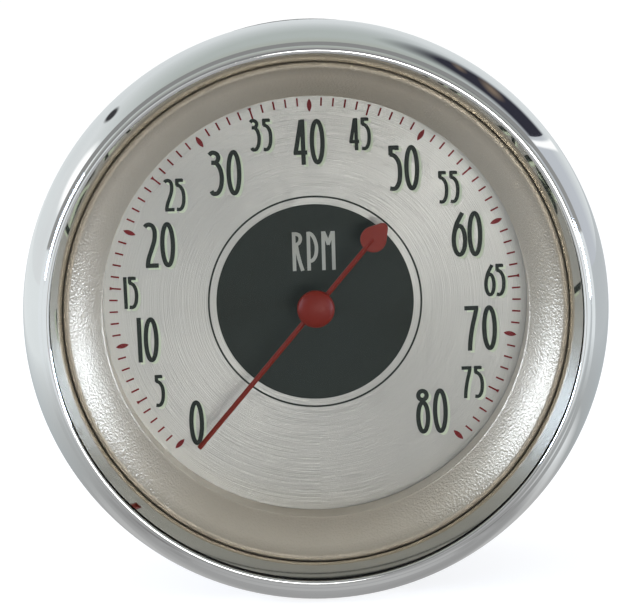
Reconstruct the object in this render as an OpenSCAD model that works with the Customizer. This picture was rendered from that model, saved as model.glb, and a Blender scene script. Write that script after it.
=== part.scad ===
// Panel-mounted electric tachometer: a stepped bezel, a conical reflector ring,
// a satin trim ring and a recessed dial, with a crossed-coil movement behind it.
// The face looks along -Y, +Z is up, and Y = 0 is the plane of the panel's front.
// Inside the modules z is the distance in front of that plane, so the back is negative.

/* [Bezel] */
// Overhang of the bezel's widest place beyond the case
bezel_overhang = 5.3; // [4.8:0.1:6.5]
// Height of the lip in front of the panel
bezel_h = 15.5; // [14.5:0.1:17]
// Height of the widest place in front of the panel
bezel_wide_z = 3.5; // [3:0.1:5]
// Thickness of the bezel's sheet
bezel_t = 0.6; // [0.4:0.05:0.8]
// Radial reach of the rounded rear corner
bezel_rear_round = 1.8; // [1.2:0.1:2]
// Radial reach of the arc of the outer band
band_reach = 9; // [8:0.5:12]
// Width of the rim, from the bezel's widest place to the window
rim_w = 6.1; // [5.9:0.1:7.5]
// Width of the lip, from the window to the step
lip_w = 1.7; // [1.5:0.05:1.8]
// Radius on the lip's outer shoulder
lip_round = 0.7; // [0.6:0.05:0.8]
// Radius on the lip's inner edge
lip_edge_round = 0.25; // [0.1:0.05:0.3]
// Height of the step from the ledge to the lip
step_h = 1.1; // [0.8:0.1:1.4]
// Width of the narrow ledge outside the step
ledge_w = 0.75; // [0.6:0.05:1]
// Fall of the ledge towards the outer band
ledge_fall = 0.2; // [0:0.05:0.4]
// Gap between the case and the bezel's rear curl, where the panel's edge goes
curl_gap = 1.2; // [1:0.1:1.4]

/* [Lens] */
// Thickness of the glass
lens_t = 1.6; // [1.2:0.1:2]
// Thickness of the gasket in front of the glass
gasket_t = 0.4; // [0.3:0.05:0.6]
// Wall of the gasket round the edge of the glass
gasket_wall = 0.3; // [0.2:0.05:0.4]

/* [Reflector ring] */
// Thickness of the reflector's sheet
reflector_t = 0.6; // [0.4:0.1:0.8]
// How far the mirror wall leans in from the lens to its foot
reflector_lean = 2.1; // [1.8:0.1:2.4]
// Height of the mirror wall
reflector_wall_h = 6; // [5.2:0.1:6.4]
// Width of the reflector's top flange
reflector_flange_w = 2.4; // [2:0.1:2.6]

/* [Trim ring] */
// Thickness of the trim ring's sheet
trim_t = 0.8; // [0.6:0.1:1]
// Width of the trim ring, from its wall to the opening round the dial
trim_w = 8.4; // [7.5:0.1:10]
// Height of the opening's edge in front of the panel
trim_edge_z = -0.3; // [-1:0.1:1]
// Gap between the dial and the skirt turned down at the opening
trim_skirt_gap = 0.4; // [0.3:0.1:1]
// Radius of the outer shoulder
trim_shoulder_r = 1; // [0.9:0.1:1.4]
// Height of the shoulder's centre above the trim ring's flange
trim_shoulder_h = 4.1; // [3.6:0.1:4.4]
// Slope of the face where it leaves the shoulder
trim_slope = 39; // [34:1:42]
// Bulge of the face between shoulder and opening
trim_bulge = 0.4; // [0.2:0.05:0.6]
// Size of the bevel where the face turns down at the opening
trim_bevel = 0.25; // [0.1:0.05:0.4]

/* [Dial] */
// How far the dial plate reaches out behind the trim ring
dial_overlap = 4.4; // [3.4:0.1:6.4]
// Thickness of the dial plate
dial_t = 1; // [0.8:0.1:1.5]
// Depth of the dial's face behind the panel
dial_depth = 8.5; // [7.5:0.1:9]
// Thickness of the carrier behind the dial
carrier_t = 2; // [1.5:0.1:3]
// Distance from the dial's edge in to the carrier's edge
carrier_inset = 2; // [1.5:0.1:4]
// Radius of the carrier's four posts
post_r = 3; // [2.6:0.1:4]
// Distance of the posts from the axis
post_ring_r = 32; // [28:0.5:33]

/* [Pointer] */
// Length from the axis to the tip
pointer_l = 40.2; // [34:0.1:43]
// Width of the blade
pointer_w = 1.05; // [0.8:0.05:1.6]
// Height of the ridge along the blade
pointer_ridge = 0.9; // [0.6:0.1:1.2]
// Height of the blade's sides
pointer_side = 0.35; // [0.2:0.05:0.5]
// Distance from the dial to the back of the blade
pointer_clear = 8.4; // [6:0.1:9]
// Distance from the axis to the centre of the counterweight
tail_l = 19.7; // [14:0.1:24]
// Radius of the counterweight's round end
tail_r = 2.85; // [2:0.05:4]
// Radius of the counterweight's nose
tail_nose_r = 1.2; // [0.8:0.05:1.8]
// Distance from the round end's centre to the nose's centre
tail_nose_l = 3.1; // [2.5:0.1:4]
// Thickness of the counterweight
tail_t = 0.6; // [0.5:0.05:0.8]
// Radius of the boss in the middle of the pointer
boss_r = 3.2; // [2.5:0.1:3.6]
// Radius of the cap over the boss
cap_r = 4.1; // [3.6:0.1:5]
// Height of the cap's straight side
cap_side = 0.7; // [0.4:0.1:1]
// Height of the cap's dome
cap_dome = 1.7; // [1:0.1:2.5]
// Wall of the bush pressed on the spindle
bush_wall = 0.7; // [0.5:0.1:1]
// Distance from the dial to the back of the bush
bush_clear = 0.8; // [0.5:0.1:2]
// Angle between the rest position and straight up, anticlockwise
rest_angle = 138.8; // [130:0.1:145]

/* [Movement] */
// Radius of the spindle
spindle_r = 0.5; // [0.4:0.05:0.8]
// Radius of the rotor magnet
rotor_r = 6.2; // [5:0.1:6.5]
// Thickness of the rotor magnet
rotor_t = 4; // [3:0.1:5]
// Half the width of the square bobbins
bobbin_half = 8.5; // [8:0.1:9]
// Height of one bobbin
bobbin_h = 6; // [5:0.1:7]
// Radius of the rotor's chamber in the bobbins
chamber_r = 7; // [6.8:0.1:7.4]
// Thickness of the wall between chamber and winding
chamber_floor = 2.5; // [2:0.1:3]
// Thickness of each winding
coil_t = 1.3; // [0.8:0.1:1.4]
// Width of each half of a winding
coil_w = 4; // [2:0.1:4.1]
// Gap between the two halves of a winding
coil_split = 4; // [4:0.1:4.2]
// Radius of the legs that stand the bobbins on the board
leg_r = 1; // [0.8:0.1:1.2]
// Distance of the legs from the bobbins' sides
leg_inset = 1.2; // [1:0.1:1.4]
// Thickness of the shield can's sheet
can_t = 0.6; // [0.4:0.1:1]
// Gap between the shield can and the carrier
can_gap = 1; // [0.8:0.1:1.4]
// Height that the front bearing's boss stands out of the can
boss_out = 0.4; // [0:0.1:0.6]
// Radius of the bearing bushes
bearing_r = 1.2; // [1.1:0.05:1.3]
// Length of the bearing bushes
bearing_l = 2; // [1.5:0.1:2.2]

/* [Circuit board] */
// Diameter of the board
board_d = 76; // [74:0.5:77]
// Thickness of the board
board_t = 1.6; // [1:0.1:2.4]
// Distance of studs and pillars from the axis
pillar_ring_r = 32; // [28:0.5:33]
// Radius of the studs between board and case
stud_body_r = 4; // [3.6:0.1:4.4]
// Width across the flats of the pillars between board and case
pillar_af = 7; // [6.5:0.1:7.5]
// Radius of the threaded neck through the board
neck_r = 1.9; // [1.5:0.1:2.2]
// Width across the flats of the nuts on the board
nut_af = 7.5; // [6.5:0.1:8]
// Height of the nuts on the board
nut_h = 2.6; // [2:0.1:3.5]
// Thread that stands out of the nuts
thread_out = 0.6; // [0:0.1:1]
// Radius of the board screws
screw_r = 1.2; // [1:0.1:1.3]
// Length of the board screws in the carrier's posts
screw_l = 8; // [5:0.5:12]

/* [Case] */
// Diameter of the case, which passes through the panel
case_d = 116.6; // [114:0.1:117]
// Depth of the case behind the panel
case_depth = 52; // [46:0.5:80]
// Thickness of the case's sheet
case_t = 1; // [0.8:0.1:1.2]
// Radius on the case's rear edge
case_round = 3; // [2:0.1:5]
// Radius of the shoulder of each mounting stud in the case
stud_shoulder_r = 3; // [2.6:0.1:3.4]
// Height that the stud's shoulder stands out of the case
stud_shoulder_out = 0.4; // [0.2:0.1:1]
// Radius of the free thread of the mounting studs
stud_r = 2.41; // [2:0.01:2.5]
// Length of the free thread of the mounting studs
stud_l = 20; // [12:0.5:40]
// Radius of the thread of the case screws
case_screw_r = 1.5; // [1.2:0.1:2]
// Length of the case screws below their heads
case_screw_l = 8; // [5:0.5:10]
// Width of the slots in all screws
slot_w = 0.7; // [0.5:0.1:0.9]
// Depth of the slots in all screws
slot_depth = 0.9; // [0.6:0.1:1]
// Radius of the heads of all screws
head_r = 2.8; // [2.5:0.1:3]
// Height of the heads of all screws
head_h = 1.8; // [1.4:0.1:2.4]
// Outer radius of the lock washers
washer_r = 3.2; // [3:0.1:3.6]
// Thickness of the lock washers
washer_t = 0.7; // [0.5:0.1:1]

/* [Lamps] */
// Distance of the lamps from the axis
lamp_ring_r = 44.5; // [44.5:0.1:46]
// Angle of each lamp from the top
lamp_angle = 42; // [30:1:60]
// Radius of the bulb's envelope
bulb_r = 4.6; // [4:0.1:5]
// Length of the envelope in front of the socket
bulb_l = 20; // [14:0.5:24]
// Radius of the socket's barrel
socket_r = 7.2; // [6.5:0.1:7.5]
// Depth of the socket's barrel inside the case
socket_l = 9; // [6:0.5:12]
// Radius of the socket's outside flange
socket_flange_r = 9; // [8.4:0.1:9.5]
// Thickness of the socket's outside flange
socket_flange_t = 2; // [1.5:0.1:3]
// Width of the grip on the socket
socket_grip_w = 4; // [3:0.1:5]
// Height of the grip on the socket
socket_grip_h = 5; // [4:0.5:8]
// Width of the socket's tabs
tab_w = 2.8; // [2:0.1:3.2]
// Thickness of the socket's tabs
tab_t = 0.5; // [0.3:0.1:0.8]
// Length of the tabs outside the grip
tab_l = 4; // [3:0.5:6]

/* [Terminals] */
// Number of blade terminals
blade_count = 4; // [2:1:4]
// Distance between blades
blade_pitch = 7; // [5:0.1:7.5]
// Width of each blade
blade_w = 6.3; // [4.8:0.1:6.3]
// Thickness of each blade
blade_t = 0.8; // [0.5:0.1:1]
// Length of each blade outside its block
blade_l = 8; // [6:0.5:12]
// Height of the row of blades below the axis
blade_drop = 17; // [14:0.5:18]
// Rim of the terminal block round the row of blades
block_rim = 3; // [2:0.1:4]
// Overlap of the block's flange on the case round its hole
block_lip = 1; // [0.6:0.1:1.6]
// Thickness of the block's flange outside the case
block_t = 3; // [2:0.1:5]
// Depth of the block inside the case
block_l = 4; // [2:0.5:6]

/* [Board parts] */
// Width of the driver chip
chip_w = 7.6; // [6:0.1:8]
// Length of the driver chip
chip_l = 10.4; // [10:0.1:11]
// Thickness of the driver chip
chip_t = 2.7; // [2:0.1:3]
// Gap between the chip and the board
chip_gap = 0.5; // [0.2:0.1:0.8]
// Distance between the chip's pins
pin_pitch = 1.27; // [1:0.01:1.27]
// Width of the chip's pins
pin_w = 0.5; // [0.3:0.05:0.6]
// Reach of the pins beside the chip
pin_reach = 1.3; // [1:0.1:1.6]
// Width of the voltage regulator
regulator_w = 10; // [8:0.1:11]
// Length of the regulator's body
regulator_l = 9; // [8:0.1:10]
// Height of the regulator's body
regulator_h = 4.4; // [3:0.1:5]
// Length of the regulator's metal tab
regulator_tab_l = 4; // [3:0.1:5]
// Thickness of the regulator's metal tab
regulator_tab_t = 1.3; // [0.8:0.1:1.5]
// Radius of the large capacitor
capacitor_r = 4; // [3:0.1:4.4]
// Height of the large capacitor
capacitor_h = 11; // [8:0.5:14]
// Radius of the small capacitor
small_capacitor_r = 3.2; // [2.5:0.1:3.6]
// Height of the small capacitor
small_capacitor_h = 8; // [5:0.5:12]
// Radius of a resistor's body
resistor_r = 1.15; // [0.9:0.05:1.3]
// Length of a resistor's body
resistor_l = 6.4; // [5:0.1:7]
// Radius of a resistor's wire
wire_r = 0.3; // [0.2:0.05:0.4]
// Distance between the two ends of a resistor's wire
wire_span = 10; // [9:0.1:11]
// Distance between resistors
resistor_pitch = 4; // [3:0.1:4]

/* [Controls] */
// Height of the controls above the axis
control_rise = 17; // [16:0.5:19]
// Length of the selector's body
selector_l = 10; // [9:0.1:12]
// Width of the selector's body
selector_w = 7; // [6.6:0.1:8]
// Height of the selector's body
selector_h = 5; // [4:0.1:6]
// Travel of each selector lever
selector_travel = 2; // [1:0.1:2.4]
// Width of each selector lever
lever_w = 1.6; // [1.2:0.1:1.8]
// Height of each lever above the selector's body
lever_h = 1.2; // [0.8:0.1:2]
// Width of the calibration trimmer's body
trimmer_w = 7; // [6.5:0.1:8]
// Height of the trimmer's body
trimmer_h = 4.2; // [3.5:0.1:5]
// Radius of the trimmer's screw
trimmer_r = 2.3; // [2:0.1:2.6]
// Height that the trimmer's screw stands out of its body
trimmer_out = 0.4; // [0:0.1:1]
// Sideways place of the trimmer
trimmer_x = 15; // [14.5:0.1:17]
// Free margin round the controls in their windows in the case
window_margin = 1; // [0.5:0.1:1.2]

/* [Clearances] */
// Gap round pieces that fit inside one another
fit_gap = 0.1; // [0.05:0.01:0.15]
// Gap between curved faces of pieces that don't touch
free_gap = 0.3; // [0.2:0.05:0.4]
// Running clearance of the spindle in its bearings
run_gap = 0.03; // [0.02:0.01:0.05]
// Gap round screws, studs and sockets in their holes
hole_gap = 0.2; // [0.1:0.05:0.3]

/* [Hidden] */
$fn = 96;
TURN_FN = 180;
ARC_STEPS = 24;
ROUND_STEPS = 12;
// How far a cut runs past the face that it opens
PAST = 1;

// Radii of the bezel and of what it closes round
case_r = case_d / 2;
bezel_r = case_r + bezel_overhang;
window_r = bezel_r - rim_w;
step_r = window_r + lip_w;
band_top_r = step_r + ledge_w;
band_top_z = bezel_h - step_h - ledge_fall;
band_centre_r = bezel_r - band_reach;
band_end = acos((band_top_r - band_centre_r) / band_reach);
band_height = (band_top_z - bezel_wide_z) / sin(band_end);
curl_r = case_r + curl_gap;
flange_r = bezel_r - bezel_rear_round - fit_gap;

// Heights of the pieces stacked in the bezel, from the rear curl to the lip
flange_z = bezel_t;
trim_z = flange_z + case_t;
reflector_z = trim_z + trim_t;
lens_front_z = bezel_h - bezel_t - gasket_t;
lens_z = lens_front_z - lens_t;
gasket_r = step_r - max(bezel_t, lip_round) - fit_gap;
lens_r = gasket_r - gasket_wall - fit_gap / 2;
mirror_top_r = window_r - fit_gap;
mirror_foot_r = mirror_top_r - reflector_lean;
mirror_foot_z = lens_z - reflector_wall_h;
trim_wall_r = mirror_foot_r - free_gap;
trim_opening_r = trim_wall_r - trim_w;
shoulder_z = reflector_z + trim_shoulder_h;

// Radii of the pieces that lie under the trim ring
dial_r = trim_opening_r + dial_overlap;
carrier_r = dial_r - carrier_inset;

// Heights of the pieces behind the dial
dial_z = -dial_depth;
carrier_z = dial_z - dial_t;
can_z = carrier_z - carrier_t - can_gap;
boss_front_z = can_z + boss_out;
outer_coil_z = can_z - can_t - free_gap;
inner_coil_z = outer_coil_z - coil_t - fit_gap;
bobbin_z = inner_coil_z - coil_t - fit_gap;
bobbin_mid_z = bobbin_z - bobbin_h;
bobbin_rear_z = bobbin_mid_z - bobbin_h;
board_z = bobbin_rear_z - 2 * (coil_t + fit_gap) - free_gap;
board_rear_z = board_z - board_t;
case_rear_z = -case_depth;
case_floor_z = case_rear_z + case_t;
can_r = norm([bobbin_half + 2 * coil_t + 2 * fit_gap, coil_split / 2 + coil_w]) + free_gap + can_t;
bearing_rear_z = bobbin_rear_z + chamber_floor - bearing_l;

// Heights along the pointer
blade_z = dial_z + pointer_clear;
cap_z = blade_z + pointer_ridge;
bush_r = spindle_r + bush_wall;
bush_z = dial_z + bush_clear;

// Places of what repeats round the axis
post_angles = [45, 135, 225, 315];
stud_x = [-pillar_ring_r, pillar_ring_r];
pillar_y = [-pillar_ring_r, pillar_ring_r];
lamp_places = [for (side = [-1, 1]) lamp_ring_r * [side * sin(lamp_angle), cos(lamp_angle)]];
blade_x = [for (i = [0 : blade_count - 1]) (i - (blade_count - 1) / 2) * blade_pitch];
block_half_x = (blade_count - 1) / 2 * blade_pitch + block_rim;
block_half_y = blade_w / 2 + block_rim;
block_z = case_rear_z - block_t;
lever_x = [-selector_l / 4, selector_l / 4];
grip_z = case_rear_z - socket_flange_t - socket_grip_h;
leg_place = bobbin_half - leg_inset;

// Places of the parts on the back of the board
chip_place = [-14, 12];
regulator_place = [20, -12];
capacitor_place = [-20, -4];
small_capacitor_place = [-20, -14];
resistor_place = [4, 4];

// Points on an arc of an ellipse from one angle to another
function arc(centre, reach, from, to, steps = ARC_STEPS) =
    [for (i = [0 : steps]) let (a = from + (to - from) * i / steps)
        centre + [reach[0] * cos(a), reach[1] * sin(a)]];

// Points on a shallow arc between two points, bulging to the right of the way from p to q
function bow(p, q, sag, steps = ARC_STEPS) =
    let (half = norm(q - p) / 2,
         along = (q - p) / (2 * half),
         side = [along[1], -along[0]])
    [for (i = [0 : steps]) let (s = 2 * i / steps - 1)
        (p + q) / 2 + along * half * s + side * sag * (1 - s * s)];

// All points of a list but the first
function rest(points) = [for (i = [1 : len(points) - 1]) points[i]];

function unit(v) = v / norm(v);
function left_of(v) = [-v[1], v[0]];

// Mitred offset direction at point i of a path, of length 1 measured square to the path
function mitre(path, i) =
    let (before = i > 0 ? unit(path[i] - path[i - 1]) : unit(path[1] - path[0]),
         after = i < len(path) - 1 ? unit(path[i + 1] - path[i]) : before,
         mid = unit(left_of(before) + left_of(after)))
    mid / (mid * left_of(before));

// Outline of a sheet of thickness t on the left of a path, with extra points at its far end
function sheet(path, t, nose = []) =
    concat(path, nose, [for (i = [len(path) - 1 : -1 : 0]) path[i] + t * mitre(path, i)]);

// Turns a piece from the drawing plane, with z towards the viewer, to face along -Y
module facing() rotate([90, 0, 0]) children();

// A turned ring or shell from its half section of radius and z
module turned(outline) rotate_extrude($fn = TURN_FN) polygon(outline);

// A plain round bar or hole between two heights
module bar(r, z0, z1) translate([0, 0, z0]) cylinder(r = r, h = z1 - z0);

// A box centred on the axis between two heights
module block(x, y, z0, z1) translate([-x / 2, -y / 2, z0]) cube([x, y, z1 - z0]);

// A tube between two heights
module tube(r_out, r_in, z0, z1) {
    difference() {
        bar(r_out, z0, z1);
        bar(r_in, z0 - PAST, z1 + PAST);
    }
}

// A hexagonal bar by its width across flats
module hex_bar(af, z0, z1) translate([0, 0, z0]) cylinder(r = af / sqrt(3), h = z1 - z0, $fn = 6);

// A pan head that points backwards, with a crossed recess
module pan_head(z) {
    difference() {
        bar(head_r, z - head_h, z);
        for (turn = [0, 90]) rotate(turn) block(head_r, slot_w, z - head_h - PAST, z - head_h + slot_depth);
    }
}

// Outer face of the bezel from the rear curl to the lip
bezel_path = concat(
    [[curl_r, 0]],
    arc([bezel_r - bezel_rear_round, bezel_wide_z], [bezel_rear_round, bezel_wide_z], -90, 0, ROUND_STEPS),
    rest(arc([band_centre_r, bezel_wide_z], [band_reach, band_height], 0, band_end, 2 * ARC_STEPS)),
    [[step_r, band_top_z + ledge_fall]],
    arc([step_r - lip_round, bezel_h - lip_round], [lip_round, lip_round], 0, 90, ROUND_STEPS),
    [[window_r + lip_edge_round, bezel_h]]
);
lip_edge = [window_r + lip_edge_round, bezel_h - lip_edge_round];
lip_nose = concat(
    rest(arc(lip_edge, [lip_edge_round, lip_edge_round], 90, 180, ROUND_STEPS)),
    [[window_r, bezel_h - bezel_t]]
);

module bezel() {
    color("gainsboro") facing() turned(sheet(bezel_path, bezel_t, lip_nose));
}

module lens_gasket() {
    color("dimgray") facing() {
        tube(gasket_r, window_r + fit_gap, lens_front_z, lens_front_z + gasket_t);
        tube(gasket_r, gasket_r - gasket_wall, lens_z, lens_front_z);
    }
}

module lens() {
    color("lightcyan", 0.3) facing() bar(lens_r, lens_z, lens_front_z);
}

reflector_path = [
    [mirror_foot_r, mirror_foot_z],
    [mirror_top_r, lens_z],
    [mirror_top_r + reflector_flange_w, lens_z],
    [mirror_top_r + reflector_flange_w, reflector_z]
];

module reflector_ring() {
    color("lightgray") facing() turned(sheet(reflector_path, -reflector_t));
}

shoulder = [trim_wall_r - trim_shoulder_r, shoulder_z];
face_top = shoulder + trim_shoulder_r * [-sin(trim_slope), cos(trim_slope)];
face_foot = [trim_opening_r + trim_bevel, trim_edge_z + trim_bevel];
trim_path = concat(
    [[flange_r - fit_gap, reflector_z], [trim_wall_r, reflector_z]],
    arc(shoulder, [trim_shoulder_r, trim_shoulder_r], 0, 90 + trim_slope),
    rest(bow(face_top, face_foot, trim_bulge)),
    [[trim_opening_r, trim_edge_z], [trim_opening_r, dial_z + trim_skirt_gap]]
);

module trim_ring() {
    color("tan") facing() turned(sheet(trim_path, trim_t));
}

module dial() {
    color("silver") facing() tube(dial_r, bush_r + free_gap, carrier_z, dial_z);
}

// Repeats a piece at the carrier's posts
module at_posts() for (a = post_angles) rotate(a) translate([post_ring_r, 0]) children();

// Repeats a piece at the studs
module at_studs() for (x = stud_x) translate([x, 0]) children();

// Repeats a piece at the pillars
module at_pillars() for (y = pillar_y) translate([0, y]) children();

module dial_carrier() {
    color("white") facing() {
        difference() {
            union() {
                bar(carrier_r, carrier_z - carrier_t, carrier_z);
                at_posts() bar(post_r, board_z, carrier_z - carrier_t / 2);
            }
            bar(bush_r + free_gap, carrier_z - carrier_t - PAST, carrier_z + PAST);
            at_posts() bar(screw_r + fit_gap / 2, board_z - PAST, board_z + screw_l + PAST);
        }
    }
}

// Outline of the counterweight, with its nose pointing away from the axis
tail_tangent = acos((tail_r - tail_nose_r) / tail_nose_l);
tail_outline = concat(
    arc([0, 0], [tail_r, tail_r], tail_tangent, 360 - tail_tangent, 2 * ARC_STEPS),
    arc([tail_nose_l, 0], [tail_nose_r, tail_nose_r], -tail_tangent, tail_tangent, ARC_STEPS)
);
blade_section = [
    [-pointer_w / 2, 0], [pointer_w / 2, 0], [pointer_w / 2, pointer_side],
    [0, pointer_ridge], [-pointer_w / 2, pointer_side]
];

// A ridged bar that runs up from the axis
module ridged_bar(length) {
    translate([0, length, 0]) rotate([90, 0, 0]) linear_extrude(length) polygon(blade_section);
}

module pointer() {
    color("firebrick") facing() rotate(rest_angle) translate([0, 0, blade_z]) {
        difference() {
            union() {
                ridged_bar(pointer_l);
                rotate(180) ridged_bar(tail_l);
                rotate(-90) translate([tail_l, 0]) linear_extrude(tail_t) polygon(tail_outline);
                bar(boss_r, 0, pointer_ridge);
            }
            bar(bush_r, -PAST, pointer_ridge + PAST);
        }
    }
}

module pointer_cap() {
    color("firebrick") facing() turned(concat(
        [[0, cap_z], [cap_r, cap_z]],
        arc([0, cap_z + cap_side], [cap_r, cap_dome], 0, 90)
    ));
}

module pointer_bush() {
    color("goldenrod") facing() tube(bush_r, spindle_r, bush_z, cap_z);
}

module spindle() {
    color("lightsteelblue") facing() bar(spindle_r, bearing_rear_z, cap_z);
}

module rotor_magnet() {
    color("dimgray") facing()
        tube(rotor_r, spindle_r, bobbin_mid_z - rotor_t / 2, bobbin_mid_z + rotor_t / 2);
}

module front_bobbin() {
    color("ivory") facing() difference() {
        union() {
            block(2 * bobbin_half, 2 * bobbin_half, bobbin_mid_z, bobbin_z);
            bar(coil_split / 2 - fit_gap, bobbin_z, boss_front_z);
        }
        bar(chamber_r, bobbin_mid_z - PAST, bobbin_z - chamber_floor);
        bar(bearing_r, boss_front_z - bearing_l, boss_front_z + PAST);
        bar(spindle_r + free_gap, bobbin_mid_z, boss_front_z);
    }
}

module rear_bobbin() {
    color("ivory") facing() {
        difference() {
            block(2 * bobbin_half, 2 * bobbin_half, bobbin_rear_z, bobbin_mid_z);
            bar(chamber_r, bearing_rear_z + bearing_l, bobbin_mid_z + PAST);
            bar(bearing_r, bearing_rear_z, bearing_rear_z + bearing_l + PAST);
        }
        for (x = [-leg_place, leg_place]) for (y = [-leg_place, leg_place]) {
            translate([x, y]) bar(leg_r, board_z, bobbin_rear_z);
        }
    }
}

// A winding of two rectangular loops that pass either side of the spindle
module winding(half_x, z_front, z_rear) {
    for (side = [-1, 1]) translate([0, side * (coil_split + coil_w) / 2, 0]) {
        difference() {
            block(2 * (half_x + coil_t), coil_w, z_rear - coil_t, z_front);
            block(2 * half_x, coil_w + PAST, z_rear, z_front - coil_t);
        }
    }
}

module inner_coil() {
    color("sienna") facing()
        winding(bobbin_half + fit_gap, inner_coil_z, bobbin_rear_z - fit_gap);
}

module outer_coil() {
    color("peru") facing() rotate(90)
        winding(bobbin_half + coil_t + 2 * fit_gap, outer_coil_z, bobbin_rear_z - coil_t - 2 * fit_gap);
}

module front_bearing() {
    color("goldenrod") facing()
        tube(bearing_r, spindle_r + run_gap, boss_front_z - bearing_l, boss_front_z);
}

module rear_bearing() {
    color("goldenrod") facing()
        tube(bearing_r, spindle_r + run_gap, bearing_rear_z, bearing_rear_z + bearing_l);
}

module shield_can() {
    color("darkgray") facing() difference() {
        bar(can_r, board_z, can_z);
        bar(can_r - can_t, board_z - PAST, can_z - can_t);
        bar(coil_split / 2 + free_gap, can_z - can_t - PAST, can_z + PAST);
    }
}

module circuit_board() {
    color("darkgreen") facing() difference() {
        bar(board_d / 2, board_rear_z, board_z);
        at_posts() bar(screw_r + hole_gap, board_rear_z - PAST, board_z + PAST);
        at_studs() bar(neck_r + hole_gap, board_rear_z - PAST, board_z + PAST);
        at_pillars() bar(neck_r + hole_gap, board_rear_z - PAST, board_z + PAST);
    }
}

module board_screws() {
    color("silver") facing() at_posts() {
        bar(screw_r, board_rear_z, board_z + screw_l);
        pan_head(board_rear_z);
    }
}

module board_nut() {
    difference() {
        hex_bar(nut_af, board_z, board_z + nut_h);
        bar(neck_r + fit_gap / 2, board_z - PAST, board_z + nut_h + PAST);
    }
}

module board_nuts() {
    color("silver") facing() {
        at_studs() board_nut();
        at_pillars() board_nut();
    }
}

module mounting_studs() {
    color("silver") facing() at_studs() {
        bar(neck_r, board_rear_z, board_z + nut_h + thread_out);
        bar(stud_body_r, case_floor_z, board_rear_z);
        bar(stud_shoulder_r, case_rear_z - stud_shoulder_out, case_floor_z);
        bar(stud_r, case_rear_z - stud_shoulder_out - stud_l, case_rear_z - stud_shoulder_out);
    }
}

module rear_pillars() {
    color("goldenrod") facing() at_pillars() {
        bar(neck_r, board_rear_z, board_z + nut_h + thread_out);
        difference() {
            hex_bar(pillar_af, case_floor_z, board_rear_z);
            bar(case_screw_r + fit_gap / 2, case_floor_z - PAST, case_rear_z + case_screw_l + PAST);
        }
    }
}

module case_screws() {
    color("silver") facing() at_pillars() {
        bar(case_screw_r, case_rear_z - washer_t, case_rear_z + case_screw_l);
        pan_head(case_rear_z - washer_t);
    }
}

module lock_washers() {
    color("gray") facing() at_pillars()
        tube(washer_r, case_screw_r + hole_gap, case_rear_z - washer_t, case_rear_z);
}

case_path = concat(
    [[flange_r, flange_z], [case_r, flange_z]],
    arc([case_r - case_round, case_rear_z + case_round], [case_round, case_round], 0, -90, ROUND_STEPS),
    [[0, case_rear_z]]
);

// Round and square holes through the case's rear wall
module rear_hole(r) bar(r, case_rear_z - PAST, case_floor_z + PAST);
module rear_window(x, y) block(x, y, case_rear_z - PAST, case_floor_z + PAST);

module case() {
    color("slategray") facing() difference() {
        turned(sheet(case_path, -case_t));
        at_studs() rear_hole(stud_shoulder_r + hole_gap);
        at_pillars() rear_hole(case_screw_r + hole_gap);
        for (place = lamp_places) translate(place) rear_hole(socket_r + hole_gap);
        translate([0, -blade_drop])
            rear_window(2 * (block_half_x - block_lip), 2 * (block_half_y - block_lip));
        translate([0, control_rise])
            rear_window(selector_l + 2 * window_margin, selector_w + 2 * window_margin);
        translate([trimmer_x, control_rise]) rear_hole(trimmer_r + window_margin);
    }
}

module terminal_block() {
    color([0.12, 0.12, 0.12]) facing() translate([0, -blade_drop]) difference() {
        union() {
            block(2 * block_half_x, 2 * block_half_y, block_z, case_rear_z);
            block(2 * (block_half_x - block_lip - fit_gap), 2 * (block_half_y - block_lip - fit_gap),
                case_rear_z, case_rear_z + block_l);
        }
        for (x = blade_x) translate([x, 0]) {
            block(blade_t + 2 * fit_gap, blade_w + 2 * fit_gap, block_z - PAST, case_rear_z + block_l + PAST);
        }
    }
}

module blade_terminals() {
    color("goldenrod") facing() for (x = blade_x) translate([x, -blade_drop])
        block(blade_t, blade_w, block_z - blade_l, board_rear_z);
}

module driver_chip() {
    pins = 8;
    chip_z = board_rear_z - chip_gap;
    color([0.15, 0.15, 0.15]) facing() translate(chip_place) {
        block(chip_w, chip_l, chip_z - chip_t, chip_z);
        for (i = [0 : pins - 1], side = [-1, 1])
            translate([side * (chip_w + pin_reach) / 2, (i - (pins - 1) / 2) * pin_pitch])
                block(pin_reach, pin_w, chip_z - chip_t / 2, board_rear_z);
    }
}

module voltage_regulator() {
    color([0.2, 0.2, 0.2]) facing() translate(regulator_place) {
        block(regulator_w, regulator_l, board_rear_z - regulator_h, board_rear_z);
        translate([0, (regulator_l + regulator_tab_l) / 2])
            block(regulator_w, regulator_tab_l, board_rear_z - regulator_tab_t, board_rear_z);
    }
}

module capacitors() {
    color("midnightblue") facing() {
        translate(capacitor_place) bar(capacitor_r, board_rear_z - capacitor_h, board_rear_z);
        translate(small_capacitor_place)
            bar(small_capacitor_r, board_rear_z - small_capacitor_h, board_rear_z);
    }
}

// A resistor that lies on the board, with its wires bent down to it
module resistor() {
    wire_z = board_rear_z - resistor_r - fit_gap;
    for (side = [-1, 1]) translate([side * wire_span / 2, 0]) bar(wire_r, wire_z - wire_r, board_rear_z);
    translate([0, 0, wire_z]) rotate([0, 90, 0]) {
        bar(resistor_r, -resistor_l / 2, resistor_l / 2);
        bar(wire_r, -wire_span / 2, wire_span / 2);
    }
}

module resistors() {
    color("burlywood") facing()
        for (i = [0 : 3]) translate(resistor_place - [0, i * resistor_pitch]) resistor();
}

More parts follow.
